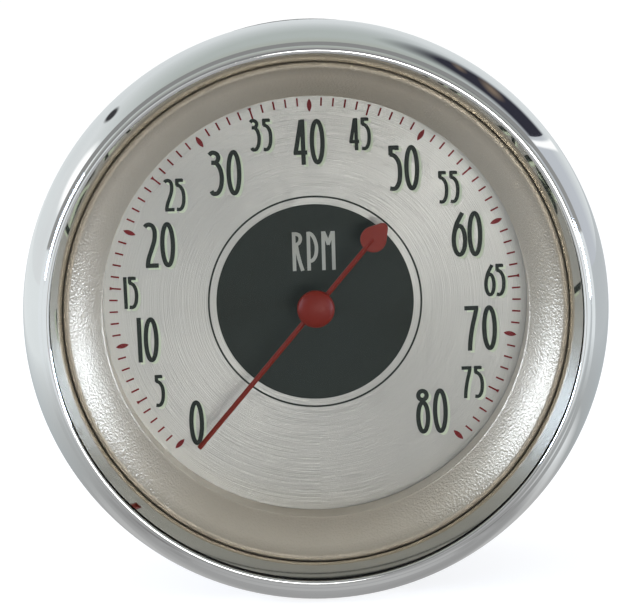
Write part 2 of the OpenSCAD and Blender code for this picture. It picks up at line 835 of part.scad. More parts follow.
module selector_body() {
    color("crimson") facing() translate([0, control_rise]) difference() {
        block(selector_l, selector_w, board_rear_z - selector_h, board_rear_z);
        for (x = lever_x) translate([x, 0]) {
            block(lever_w + 2 * fit_gap, lever_w + selector_travel + 2 * fit_gap,
                board_rear_z - selector_h - PAST, board_rear_z - selector_h / 2);
        }
    }
}

// A selector lever at the lower end of its slot
module selector_lever(x) {
    translate([x, control_rise - selector_travel / 2])
        block(lever_w, lever_w, board_rear_z - selector_h - lever_h, board_rear_z - selector_h / 2 - fit_gap);
}

module selector_lever_left() {
    color("white") facing() selector_lever(lever_x[0]);
}

module selector_lever_right() {
    color("white") facing() selector_lever(lever_x[1]);
}

trimmer_floor_z = board_rear_z - trimmer_h / 3;

module trimmer_body() {
    color("royalblue") facing() translate([trimmer_x, control_rise]) difference() {
        block(trimmer_w, trimmer_w, board_rear_z - trimmer_h, board_rear_z);
        bar(trimmer_r + run_gap, board_rear_z - trimmer_h - PAST, trimmer_floor_z);
    }
}

module trimmer_screw() {
    trimmer_end_z = board_rear_z - trimmer_h - trimmer_out;
    color("gold") facing() translate([trimmer_x, control_rise]) difference() {
        bar(trimmer_r, trimmer_end_z, trimmer_floor_z);
        block(1.6 * trimmer_r, slot_w, trimmer_end_z - PAST, trimmer_end_z + slot_depth);
    }
}

// Repeats a piece at the tabs of both sockets
module at_tabs() for (place = lamp_places) translate(place)
    for (side = [-1, 1]) translate([side * socket_r / 2, 0]) children();

module lamp_sockets() {
    color([0.12, 0.12, 0.12]) facing() difference() {
        for (place = lamp_places) translate(place) {
            bar(socket_r, case_rear_z, case_floor_z + socket_l);
            bar(socket_flange_r, case_rear_z - socket_flange_t, case_rear_z);
            block(2 * socket_r, socket_grip_w, grip_z, case_rear_z - socket_flange_t);
        }
        for (place = lamp_places) translate(place)
            bar(bulb_r + hole_gap, case_floor_z, case_floor_z + socket_l + PAST);
        at_tabs() block(tab_w + 2 * fit_gap, tab_t + 2 * fit_gap, grip_z - PAST, case_floor_z + PAST);
    }
}

module lamp_bulbs() {
    bulb_top_z = case_floor_z + socket_l + bulb_l - bulb_r;
    color("lightyellow", 0.6) facing() for (place = lamp_places) translate(place) {
        bar(bulb_r, case_floor_z + fit_gap, bulb_top_z);
        translate([0, 0, bulb_top_z]) difference() {
            sphere(bulb_r);
            bar(bulb_r + PAST, -bulb_r - PAST, 0);
        }
    }
}

module lamp_tabs() {
    color("goldenrod") facing() at_tabs() block(tab_w, tab_t, grip_z - tab_l, case_floor_z);
}

bezel();
lens_gasket();
lens();
reflector_ring();
trim_ring();
dial();
dial_carrier();
pointer();
pointer_cap();
pointer_bush();
spindle();
rotor_magnet();
front_bobbin();
rear_bobbin();
inner_coil();
outer_coil();
front_bearing();
rear_bearing();
shield_can();
circuit_board();
board_screws();
board_nuts();
driver_chip();
voltage_regulator();
capacitors();
resistors();
selector_body();
selector_lever_left();
selector_lever_right();
trimmer_body();
trimmer_screw();
case();
mounting_studs();
rear_pillars();
case_screws();
lock_washers();
terminal_block();
blade_terminals();
lamp_sockets();
lamp_bulbs();
lamp_tabs();
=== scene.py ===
# %% [markdown]
# # A round panel tachometer
# A tachometer shows how fast an engine turns. This one drops into a round hole of a dashboard: a
# polished bezel rests on the panel, and a steel case with its movement hangs behind it. The solids
# come from the construction model. This lesson gives them their finishes, prints the dial, cuts the
# threads on the studs, and lights the whole as in a small photo studio.

# %% Load the frame
import math

import bmesh
import bpy
from mathutils import Matrix, Vector


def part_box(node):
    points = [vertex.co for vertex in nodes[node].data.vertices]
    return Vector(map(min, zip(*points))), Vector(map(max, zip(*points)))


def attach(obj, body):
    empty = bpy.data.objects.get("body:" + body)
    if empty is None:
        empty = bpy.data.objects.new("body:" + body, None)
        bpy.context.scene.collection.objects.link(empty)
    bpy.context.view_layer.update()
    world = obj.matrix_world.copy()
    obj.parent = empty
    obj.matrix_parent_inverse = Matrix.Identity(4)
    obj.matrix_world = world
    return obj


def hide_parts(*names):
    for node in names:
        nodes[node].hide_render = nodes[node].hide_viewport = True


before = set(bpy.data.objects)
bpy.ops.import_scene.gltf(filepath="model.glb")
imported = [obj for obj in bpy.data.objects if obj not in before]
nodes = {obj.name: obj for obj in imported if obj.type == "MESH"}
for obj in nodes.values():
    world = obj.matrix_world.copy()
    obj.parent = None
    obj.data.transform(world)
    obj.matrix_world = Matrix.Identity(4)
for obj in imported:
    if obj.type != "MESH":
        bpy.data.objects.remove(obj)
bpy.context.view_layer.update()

# %% [markdown]
# Every length below is written in millimetres and multiplied by MM, because Blender works in metres.
# The face looks along -Y. A drawing of the dial is made flat, with x to the right and y up, and is
# then stood up by one matrix, so that it faces the reader.

# %% Units and the dial's plane
MM = 0.001
dial_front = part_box("dial")[0].y
upright = Matrix.Translation((0, dial_front, 0)) @ Matrix.Rotation(math.radians(90), 4, "X")
print("the dial's face is", round(dial_front / MM, 2), "mm behind the panel")

# %% [markdown]
# A finish is a net of shader nodes. Written out by hand such a net soon hides the idea behind it, so
# one small class wraps a socket and lets it be added and multiplied as a number is. Another class
# holds the material, and has one method that makes any node: its type, then its settings, then what
# goes into its sockets.

# %% A signal is a socket that can be used in sums
class Signal:
    """An output socket of a net, used like a number."""

    def __init__(self, net, socket):
        self.net = net
        self.socket = socket

    def sum(self, operation, *terms):
        return self.net.node("ShaderNodeMath", {"operation": operation}, dict(enumerate(terms)))

    def __add__(self, other):
        return self.sum("ADD", self, other)

    def __radd__(self, other):
        return self.sum("ADD", other, self)

    def __sub__(self, other):
        return self.sum("SUBTRACT", self, other)

    def __rsub__(self, other):
        return self.sum("SUBTRACT", other, self)

    def __mul__(self, other):
        return self.sum("MULTIPLY", self, other)

    def __rmul__(self, other):
        return self.sum("MULTIPLY", other, self)

    def __truediv__(self, other):
        return self.sum("DIVIDE", self, other)

    def __pow__(self, other):
        return self.sum("POWER", self, other)

    def over(self, edge):
        """1 where the signal is larger than edge, else 0."""
        return self.sum("GREATER_THAN", self, edge)

    def wave(self):
        """The sine of the signal."""
        return self.sum("SINE", self)

    def parts(self):
        """The x, y and z of a vector."""
        split = self.net.node("ShaderNodeSeparateXYZ", {}, {0: self}).socket.node
        return [Signal(self.net, socket) for socket in split.outputs]


# %% A net of nodes
class Net:
    """The nodes of a finish or of the sky."""

    def __init__(self, tree):
        self.tree = tree
        tree.nodes.clear()

    def feed(self, socket, value):
        """Links a signal to a socket, or writes a plain value into it."""
        if isinstance(value, Signal):
            self.tree.links.new(value.socket, socket)
        else:
            socket.default_value = value

    def set_stops(self, stops, wanted):
        """Gives a ramp its stops, each a place and a shade of grey."""
        while len(stops) < len(wanted):
            stops.new(1)
        for stop, (place, shade) in zip(stops, wanted):
            stop.position = place
            stop.color = (shade, shade, shade, 1)

    def node(self, kind, settings=None, inputs=None, output=0):
        """Makes a node: its type, then its settings, then what goes into its sockets."""
        made = self.tree.nodes.new(kind)
        for name, value in (settings or {}).items():
            if name == "stops":
                self.set_stops(made.color_ramp.elements, value)
            else:
                setattr(made, name, value)
        for name, value in (inputs or {}).items():
            self.feed(made.inputs[name], value)
        return None if output is None else Signal(self, made.outputs[output])

    def place(self, scale=(1, 1, 1), turn=(0, 0, 0)):
        """Where a point is on the piece, in metres, stretched by scale."""
        here = self.node("ShaderNodeTexCoord", {}, {}, "Object")
        return self.node("ShaderNodeMapping", {}, {"Vector": here, "Scale": scale, "Rotation": turn})

    def noise(self, size, vector=None, detail=2.0, rough=0.5):
        """Cloudy noise whose lumps are about size metres across, from 0 to 1."""
        return self.node("ShaderNodeTexNoise", {}, {
            "Vector": vector or self.place(), "Scale": 1 / size, "Detail": detail, "Roughness": rough})

    def ramp(self, value, stops):
        """Shades of grey that follow a value from stop to stop."""
        return self.node("ShaderNodeValToRGB", {"stops": stops}, {"Fac": value})

    def fade(self, value, start, full):
        """A mask: 0 up to start, 1 from full on, and an even rise between them."""
        return self.ramp(value, [(start, 0), (full, 1)])

    def mix(self, amount, first, second):
        """The first colour where amount is 0, the second where it is 1."""
        return self.node("ShaderNodeMix", {"data_type": "RGBA"}, {0: amount, 6: first, 7: second}, 2)

    def coats(self, ground, coats):
        """Paints coats over a ground, one on the other, each a mask and a colour."""
        for mask, colour in coats:
            ground = self.mix(mask, ground, (*colour, 1))
        return ground


# %% A finish is a material with one surface shader
class Finish(Net):
    """A material, with the nodes that make its surface."""

    def __init__(self, name, colour, metal=0.0, rough=0.4, **plain):
        self.name = name
        self.material = bpy.data.materials.new(name)
        self.material.use_nodes = True
        self.material.diffuse_color = (*colour, 1)
        super().__init__(self.material.node_tree)
        self.shader = self.tree.nodes.new("ShaderNodeBsdfPrincipled")
        self.output = self.tree.nodes.new("ShaderNodeOutputMaterial")
        self.tree.links.new(self.shader.outputs[0], self.output.inputs["Surface"])
        self.set("Base Color", (*colour, 1))
        self.set("Metallic", metal)
        self.set("Roughness", rough)
        for socket, value in plain.items():
            self.set(socket.replace("_", " "), value)

    def set(self, name, value):
        self.feed(self.shader.inputs[name], value)

    def relief(self, height, depth):
        """Lets light see a surface that stands up by depth metres where height is 1."""
        self.set("Normal", self.node("ShaderNodeBump", {}, {
            "Strength": 1.0, "Distance": depth, "Height": height}))


def tint(colour, by):
    """A colour made lighter or darker, as a node's colour."""
    return (*[min(1, channel * by) for channel in colour], 1)


# %% [markdown]
# Metal first. Polished chrome is close to a mirror, but never a perfect one: the buffing wheel leaves
# very fine rings, and hands leave a faint haze. Both are so shallow that they only soften what the
# chrome mirrors, so they go into the roughness, and the surface itself stays smooth.

# %% Chrome of the bezel and of the reflector ring
def from_axis(x, z):
    """How far a point is from the gauge's axis."""
    return (x * x + z * z) ** 0.5


def around(finish, size, breaks=12.0):
    """Noise in rings round the axis, about size apart, each with so many breaks to a radian."""
    x, y, z = finish.place().parts()
    way_round = finish.node("ShaderNodeMath", {"operation": "ARCTAN2"}, {0: x, 1: z})
    unrolled = {0: from_axis(x, z), 1: y, 2: way_round * (size * breaks)}
    return finish.noise(size, finish.node("ShaderNodeCombineXYZ", {}, unrolled), 3.0, 0.6)


def chrome(name, colour, rough, haze=0.03, lines=0.02):
    """Polished metal, with what a hazy patch and a buffing line add to its roughness."""
    finish = Finish(name, colour, metal=1.0, rough=rough)
    cloud = finish.noise(14 * MM, detail=4.0)
    rings = around(finish, 0.22 * MM)
    finish.set("Roughness", rough + haze * cloud + lines * rings)
    finish.set("Base Color", finish.mix(cloud, tint(colour, 0.96), tint(colour, 1.03)))
    return finish


bezel_chrome = chrome("bezel_chrome", (0.84, 0.85, 0.85), rough=0.015)
reflector_chrome = chrome("reflector_chrome", (0.90, 0.88, 0.82), rough=0.02)
print("chrome for the bezel and the reflector ring")

# %% [markdown]
# The trim ring carries a fine pebbled paint with metal flakes in it, of the kind that hides finger
# marks: small soft lumps, about half a millimetre across. Its colour is darkened towards its outer
# edge, in the corner where it meets the reflector ring: painted shade for the shadow in that corner.

# %% Trim paint
trim_tan = Finish("trim_tan", (0.57, 0.52, 0.43), metal=0.5, rough=0.40)
pebbles = trim_tan.noise(0.5 * MM, detail=2.0)
trim_cloud = trim_tan.noise(9 * MM, detail=3.0)
trim_paint = trim_tan.mix(
    0.5 * trim_cloud + 0.5 * pebbles, (0.57, 0.50, 0.39, 1), (0.70, 0.625, 0.505, 1))
# Painted shade: the colour darkens towards the outer edge, in the corner by the reflector ring.
corner_shade_start = 51.6 * MM
corner_shade_width = 4.0 * MM
trim_x, _, trim_z = trim_tan.place().parts()
corner = trim_tan.fade((from_axis(trim_x, trim_z) - corner_shade_start) / corner_shade_width, 0, 1)
trim_tan.set("Base Color", trim_tan.mix(corner, trim_paint, (0.30, 0.25, 0.18, 1)))
trim_tan.set("Roughness", 0.29 + 0.10 * pebbles)
trim_tan.relief(pebbles, 0.15 * MM)
print("paint for the trim ring")

# %% [markdown]
# The dial is a nickel-coloured plate that was brushed while it turned, so its scratches are circles.
# Light is drawn out across such scratches, so a bright part of the dial is a wide fan that starts at
# the middle. The noise round the axis does this here, because its relief tips the surface in and out
# and hardly sideways.

# %% Brushed nickel
dial_nickel = Finish("dial_nickel", (0.52, 0.515, 0.47), metal=0.65, rough=0.36)
scratches = around(dial_nickel, 0.2 * MM, breaks=2.5)
dial_cloud = dial_nickel.noise(25 * MM, detail=3.0)
dial_nickel.set("Base Color", dial_nickel.mix(
    0.7 * scratches + 0.3 * dial_cloud, (0.465, 0.46, 0.425, 1), (0.585, 0.58, 0.54, 1)))
dial_nickel.set("Roughness", 0.29 + 0.12 * scratches)
dial_nickel.relief(scratches, 0.085 * MM)
print("brushed nickel for the dial")

# %% [markdown]
# The lens is a flat pane of clear glass. A camera hardly sees it, so most of its surface lets
# everything pass, and it only turns whiter where it is seen at a flat angle, as glass does. The
# rubber gasket under the lip is dull and nearly black.

# %% Glass and rubber
lens_glass = Finish("lens_glass", (0.02, 0.022, 0.022), rough=0.02)
edge_on = lens_glass.node("ShaderNodeLayerWeight", {}, {"Blend": 0.12}, "Fresnel")
lens_glass.set("Alpha", 0.04 + 0.4 * edge_on)
lens_glass.set("Roughness", 0.015 + 0.02 * lens_glass.noise(20 * MM, detail=3.0))

gasket_rubber = Finish("gasket_rubber", (0.05, 0.05, 0.048), rough=0.75)
grains = gasket_rubber.noise(0.3 * MM, detail=3.0)
gasket_rubber.set("Roughness", 0.65 + 0.2 * grains)
gasket_rubber.relief(grains, 0.02 * MM)

bulb_glass = Finish("bulb_glass", (0.96, 0.94, 0.86), rough=0.04)
bulb_glass.set("Alpha", 0.18 + 0.5 * bulb_glass.node("ShaderNodeLayerWeight", {}, {"Blend": 0.3}, "Fresnel"))
bulb_glass.set("Roughness", 0.03 + 0.04 * bulb_glass.noise(4 * MM))
print("glass for the lens and the bulbs, rubber for the gasket")

# %% [markdown]
# Many small pieces share a few ways of making: moulded plastic has a faint mottle and a slightly
# sandy skin, turned brass and steel have fine lathe rings, zinc plating has pale clouds with a
# bluish cast, and a winding is row on row of enamelled wire. One function stands for each way, and
# every piece then gets its own colour and size of grain.

# %% Ways of making that several pieces share
def moulded(name, colour, rough=0.5, grain=0.35 * MM):
    finish = Finish(name, colour, rough=rough)
    mottle = finish.noise(6 * MM, detail=3.0)
    sand = finish.noise(grain, detail=2.0)
    finish.set("Base Color", finish.mix(mottle, tint(colour, 0.88), tint(colour, 1.1)))
    finish.set("Roughness", rough - 0.06 + 0.12 * sand)
    finish.relief(sand, 0.012 * MM)
    return finish


def turned_metal(name, colour, rough=0.3):
    finish = Finish(name, colour, metal=1.0, rough=rough)
    rings = finish.noise(0.25 * MM, finish.place((0.04, 1, 0.04)), 3.0)
    stain = finish.noise(3 * MM, detail=3.0)
    finish.set("Base Color", finish.mix(stain, tint(colour, 0.86), tint(colour, 1.05)))
    finish.set("Roughness", rough - 0.05 + 0.14 * rings)
    finish.relief(rings, 0.01 * MM)
    return finish


def plated(name, colour, rough=0.38):
    finish = Finish(name, colour, metal=1.0, rough=rough)
    cloud = finish.noise(2.2 * MM, detail=5.0, rough=0.65)
    cool = (colour[0] * 0.8, colour[1] * 0.86, colour[2] * 0.93, 1)
    finish.set("Base Color", finish.mix(cloud, cool, tint(colour, 1.04)))
    finish.set("Roughness", rough - 0.08 + 0.2 * cloud)
    finish.relief(finish.noise(0.2 * MM), 0.006 * MM)
    return finish


def wound_wire(name, colour, along):
    """Enamelled wire with its rows side by side along an axis: 0 for x, 2 for z."""
    wire = 0.2 * MM
    finish = Finish(name, colour, metal=0.85, rough=0.3, Coat_Weight=0.4)
    row = finish.place().parts()[along] * (math.tau / wire)
    ridge = 0.5 + 0.5 * row.wave()
    # Painted shade and highlight: the colour is darker in the grooves between the rows and lighter on their
    # crowns.
    finish.set("Base Color", finish.mix(ridge, tint(colour, 0.45), tint(colour, 1.15)))
    finish.set("Roughness", 0.24 + 0.14 * finish.noise(1.5 * MM))
    finish.relief(ridge, 0.08 * MM)
    return finish


# %% Finishes of the pieces behind the dial
behind = {
    "dial_carrier": moulded("carrier_white", (0.80, 0.80, 0.78)),
    "pointer_bush": turned_metal("bush_brass", (0.76, 0.6, 0.3)),
    "spindle": turned_metal("spindle_steel", (0.68, 0.69, 0.71), 0.22),
    "rotor_magnet": turned_metal("magnet_dark", (0.16, 0.16, 0.17), 0.5),
    "front_bobbin": moulded("bobbin_ivory", (0.74, 0.70, 0.58)),
    "inner_coil": wound_wire("inner_copper", (0.52, 0.20, 0.08), 2),
    "outer_coil": wound_wire("outer_copper", (0.62, 0.28, 0.11), 0),
    "front_bearing": turned_metal("bearing_brass", (0.74, 0.58, 0.28)),
    "shield_can": plated("can_steel", (0.6, 0.61, 0.62)),
    "board_screws": plated("screw_zinc", (0.66, 0.67, 0.68)),
    "board_nuts": plated("nut_zinc", (0.69, 0.69, 0.70), 0.34),
    "driver_chip": moulded("chip_black", (0.035, 0.035, 0.037), 0.55, 0.15 * MM),
    "voltage_regulator": moulded("regulator_black", (0.045, 0.045, 0.045), 0.5, 0.2 * MM),
    "capacitors": moulded("capacitor_blue", (0.03, 0.05, 0.2), 0.25, 0.6 * MM),
    "selector_body": moulded("selector_red", (0.5, 0.035, 0.03), 0.35, 0.3 * MM),
    "selector_lever_left": moulded("lever_white", (0.8, 0.8, 0.79), 0.4, 0.25 * MM),
    "trimmer_body": moulded("trimmer_blue", (0.05, 0.16, 0.45), 0.4, 0.3 * MM),
    "trimmer_screw": turned_metal("trimmer_brass", (0.78, 0.62, 0.32), 0.25),
    "rear_pillars": turned_metal("pillar_brass", (0.72, 0.57, 0.28)),
    "lock_washers": plated("washer_steel", (0.6, 0.6, 0.61), 0.42),
    "terminal_block": moulded("block_black", (0.03, 0.03, 0.031), 0.5, 0.3 * MM),
    "blade_terminals": plated("blade_brass", (0.72, 0.6, 0.34), 0.28),
    "lamp_sockets": moulded("socket_black", (0.035, 0.034, 0.033), 0.42, 0.4 * MM),
    "lamp_tabs": plated("tab_brass", (0.74, 0.62, 0.35), 0.3),
    "mounting_studs": plated("stud_steel", (0.68, 0.68, 0.69), 0.36),
}
behind["rear_bobbin"] = behind["front_bobbin"]
behind["rear_bearing"] = behind["front_bearing"]
behind["selector_lever_right"] = behind["selector_lever_left"]
behind["case_screws"] = behind["board_screws"]
print("finishes behind the dial:", len(set(id(finish) for finish in behind.values())))

# %% [markdown]
# Three pieces want more than that. The board has copper tracks that show through its green coat, a
# resistor has coloured rings on a buff body, and the case is sprayed with a satin black that has the
# slight orange peel of sprayed paint and, in clouds, a thin grey film of dust.

# %% Board, resistors and case
board_green = Finish("board_green", (0.02, 0.16, 0.07), rough=0.35, Coat_Weight=0.3)
bricks = board_green.node("ShaderNodeTexBrick", {"offset": 0.37, "squash": 0.6}, {
    "Vector": board_green.place((1, 0, 1), (math.radians(90), 0, 0)),
    "Color1": (0, 0, 0, 1), "Color2": (0, 0, 0, 1), "Mortar": (1, 1, 1, 1),
    "Scale": 1.0, "Mortar Size": 0.35 * MM, "Brick Width": 7 * MM, "Row Height": 2.6 * MM}, 0)
board_green.set("Base Color", board_green.mix(bricks, (0.015, 0.13, 0.055, 1), (0.04, 0.26, 0.10, 1)))
board_green.set("Roughness", 0.3 + 0.15 * board_green.noise(1 * MM))
board_green.relief(bricks, 0.035 * MM)

resistor_buff = Finish("resistor_buff", (0.62, 0.44, 0.26), rough=0.3)
band_pitch = 1.6 * MM
bands = (resistor_buff.place().parts()[0] * (math.tau / band_pitch)).wave().over(0.55)
resistor_buff.set("Base Color", resistor_buff.mix(bands, (0.62, 0.44, 0.26, 1), (0.30, 0.08, 0.04, 1)))
resistor_buff.set("Roughness", 0.25 + 0.15 * resistor_buff.noise(0.5 * MM))

case_paint = Finish("case_paint", (0.045, 0.045, 0.048), rough=0.42)
peel = case_paint.noise(0.9 * MM, detail=1.5)
dust = case_paint.noise(18 * MM, detail=5.0, rough=0.65)
case_paint.set("Base Color", case_paint.mix(dust, (0.036, 0.036, 0.038, 1), (0.062, 0.062, 0.064, 1)))
case_paint.set("Roughness", 0.34 + 0.16 * dust)
case_paint.relief(peel, 0.02 * MM)
print("finishes for the board, the resistors and the case")

# %% [markdown]
# The pointer and its cap are red. The pointer is sprayed, the cap is moulded with a soft shine.
# The inks of the dial lie on its nickel: a greenish black, a pale green that is printed a little to
# the lower right of each numeral to lift it off the plate, a dark red for the marks, and a pale grey
# for the letters on the black disc.

# %% Red paint and printing inks
pointer_red = Finish("pointer_red", (0.17, 0.012, 0.008), rough=0.4, Specular_IOR_Level=0.35)
flow = pointer_red.noise(1.2 * MM, detail=3.0)
pointer_red.set("Base Color", pointer_red.mix(flow, (0.180, 0.010, 0.002, 1), (0.215, 0.014, 0.004, 1)))
pointer_red.set("Roughness", 0.34 + 0.14 * flow)
pointer_red.relief(pointer_red.noise(0.25 * MM), 0.006 * MM)

cap_red = Finish("cap_red", (0.165, 0.012, 0.008), rough=0.42, Specular_IOR_Level=0.35)
sheen = cap_red.noise(2 * MM, detail=3.0)
cap_red.set("Base Color", cap_red.mix(sheen, (0.175, 0.009, 0.002, 1), (0.205, 0.013, 0.004, 1)))
cap_red.set("Roughness", 0.38 + 0.14 * sheen)
cap_red.relief(cap_red.noise(0.3 * MM), 0.008 * MM)


def ink(name, colour, rough=0.5):
    """Screen-printed ink: even, with the faint weave of the screen in its surface."""
    finish = Finish(name, colour, rough=rough, Specular_IOR_Level=0.25)
    weave = finish.noise(0.12 * MM, detail=1.0)
    finish.set("Base Color", finish.mix(weave, tint(colour, 0.92), tint(colour, 1.08)))
    finish.set("Roughness", rough - 0.05 + 0.1 * weave)
    finish.relief(weave, 0.001 * MM)
    return finish


dark_ink = ink("dark_ink", (0.024, 0.032, 0.026))
pale_ink = ink("pale_ink", (0.66, 0.74, 0.55))
red_ink = ink("red_ink", (0.21, 0.015, 0.018))
letter_ink = ink("letter_ink", (0.46, 0.465, 0.405))
print("red paint and four inks")

# %% [markdown]
# A node's own mesh stays as it is, and only its material slot is filled anew.

# %% Give the solids their finishes
finish_of = dict(
    behind, bezel=bezel_chrome, lens_gasket=gasket_rubber, lens=lens_glass,
    reflector_ring=reflector_chrome, trim_ring=trim_tan, dial=dial_nickel, pointer=pointer_red,
    pointer_cap=cap_red, circuit_board=board_green, resistors=resistor_buff, case=case_paint,
    lamp_bulbs=bulb_glass)
for name, solid in nodes.items():
    for place in solid.material_slots:
        place.material = finish_of[name].material
print("solids dressed:", len(nodes))

# %% [markdown]
# ## Printing the dial
# Ink is a layer a few hundredths of a millimetre thick. The marks of the scale are flat shapes, made
# with bmesh, raised a little and set on the plate. One function turns a finished bmesh into a piece:
# it welds what coincides, turns all faces outwards and lets the piece ride with the gauge.

# %% From bmesh to a piece
WELD = 0.0005 * MM


def piece(name, shape, finish, body="gauge", matrix=None, smooth=False):
    """Makes an object of a bmesh. The matrix, if there is one, moves its mesh, not the object."""
    bmesh.ops.remove_doubles(shape, verts=shape.verts, dist=WELD)
    bmesh.ops.recalc_face_normals(shape, faces=shape.faces)
    mesh = bpy.data.meshes.new(name)
    shape.to_mesh(mesh)
    shape.free()
    if matrix is not None:
        mesh.transform(matrix)
    mesh.materials.append(finish.material)
    mesh.polygons.foreach_set("use_smooth", [smooth] * len(mesh.polygons))
    made = bpy.data.objects.new(name, mesh)
    bpy.context.scene.collection.objects.link(made)
    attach(made, body)
    print(name, len(mesh.polygons), "faces")
    return made


def raise_up(shape, faces, height):
    """Extrudes flat faces upwards to a layer."""
    grown = bmesh.ops.extrude_face_region(shape, geom=faces)["geom"]
    corners = [item for item in grown if isinstance(item, bmesh.types.BMVert)]
    bmesh.ops.translate(shape, verts=corners, vec=(0, 0, height))


# %% [markdown]
# The scale runs over 270 degrees, with a mark for each hundred turns a minute. Every tenth mark is a
# pointed lens, every fifth a longer bar with a small wedge at its outer end, and the rest are short
# bars. One corner draws a whole lens: it swings outwards about a far centre on the left, and back
# about one on the right.

# %% Ways to draw a bar and a lens
bar_in = 43.4 * MM
bar_out = 45.25 * MM
bar_width = 0.38 * MM
fifth_in = 42.75 * MM
wedge_width = 0.8 * MM
lens_in = 42.1 * MM
lens_out = 45.0 * MM
lens_width = 1.05 * MM


def turn_mark(shape, corners, turn):
    """Turns a mark from the top of the dial to its place, clockwise."""
    bmesh.ops.rotate(shape, cent=(0, 0, 0), matrix=Matrix.Rotation(-turn, 3, "Z"), verts=corners)


def bar_mark(shape, turn, inner, head):
    """A bar from radius inner to bar_out, whose outer end is head wide."""
    stretch = Matrix.Diagonal((bar_width / 2, (bar_out - inner) / 2, 1, 1))
    stretch = Matrix.Translation((0, (inner + bar_out) / 2, 0)) @ stretch
    corners = bmesh.ops.create_grid(shape, x_segments=1, y_segments=4, size=1, matrix=stretch)["verts"]
    for corner in corners:
        if corner.co.y > bar_out - 0.1 * MM:
            corner.co.x *= head / bar_width
    turn_mark(shape, corners, turn)


def lens_mark(shape, turn):
    """A mark pointed at both ends."""
    half = (lens_out - lens_in) / 2
    belly = lens_width / 2
    reach = (half * half + belly * belly) / (2 * belly)
    swing = 2 * math.asin(half / reach)
    middle = Vector((0, (lens_in + lens_out) / 2, 0))
    aside = Vector((reach - belly, 0, 0))
    foot = shape.verts.new(middle - Vector((0, half, 0)))
    drawn = [foot]
    for centre in (middle - aside, middle + aside):
        drawn = bmesh.ops.spin(
            shape, geom=drawn, cent=centre, axis=(0, 0, 1), angle=swing, steps=10)["geom_last"]
    bmesh.ops.pointmerge(shape, verts=[foot, *drawn], merge_co=foot.co)
    rim = [edge for edge in shape.edges if not edge.link_faces]
    filled = bmesh.ops.contextual_create(shape, geom=rim)["faces"]
    turn_mark(shape, filled[0].verts[:], turn)


# %% The marks of the scale
marks = 80
sweep = math.radians(270)
mark_height = 0.05 * MM
scale_print = bmesh.new()
for number in range(marks + 1):
    turn = (number / marks - 0.5) * sweep
    if number % 10 == 0:
        lens_mark(scale_print, turn)
    elif number % 5 == 0:
        bar_mark(scale_print, turn, fifth_in, wedge_width)
    else:
        bar_mark(scale_print, turn, bar_in, bar_width)
raise_up(scale_print, scale_print.faces[:], mark_height)
piece("scale_marks", scale_print, red_ink, matrix=upright)

# %% [markdown]
# The black disc in the middle is a circle that is filled and raised. The fine line round it is a
# small rectangle that spins through a full turn.

# %% The disc and the line round it
disc_radius = 21.7 * MM
line_radius = 23.38 * MM
line_width = 0.42 * MM
disc_print = bmesh.new()
bmesh.ops.create_circle(disc_print, cap_ends=True, segments=180, radius=disc_radius)
bmesh.ops.recalc_face_normals(disc_print, faces=disc_print.faces)
raise_up(disc_print, disc_print.faces[:], mark_height)

stand_up = Matrix.Translation((line_radius, 0, mark_height / 2)) @ Matrix.Rotation(math.radians(90), 4, "X")
section = bmesh.ops.create_grid(
    disc_print, x_segments=1, y_segments=1, size=0.5,
    matrix=stand_up @ Matrix.Diagonal((line_width, mark_height, 1, 1)))["verts"][0].link_faces[0]
section_rim = section.edges[:]
bmesh.ops.delete(disc_print, geom=[section], context="FACES_ONLY")
bmesh.ops.spin(disc_print, geom=section_rim, cent=(0, 0, 0), axis=(0, 0, 1), angle=math.tau,
               steps=180, use_merge=True)
piece("dial_disc", disc_print, dark_ink, matrix=upright)

# %% [markdown]
# ## Numerals
# The numerals are tall and narrow, and each is drawn with one line of even width, as with a pen. So
# a numeral here is a few strokes in a cell of height 1, each given by the middle of its line: a
# straight line by its ends, a bow by points that it goes smoothly through, and a loop, which is an
# oval, by its centre and its reach. The pen turns such a line into a ribbon: at each of its points,
# one corner to the left and one to the right. The same strokes are drawn twice, once in pale ink a
# little to the lower right, and then in dark ink on top of it.

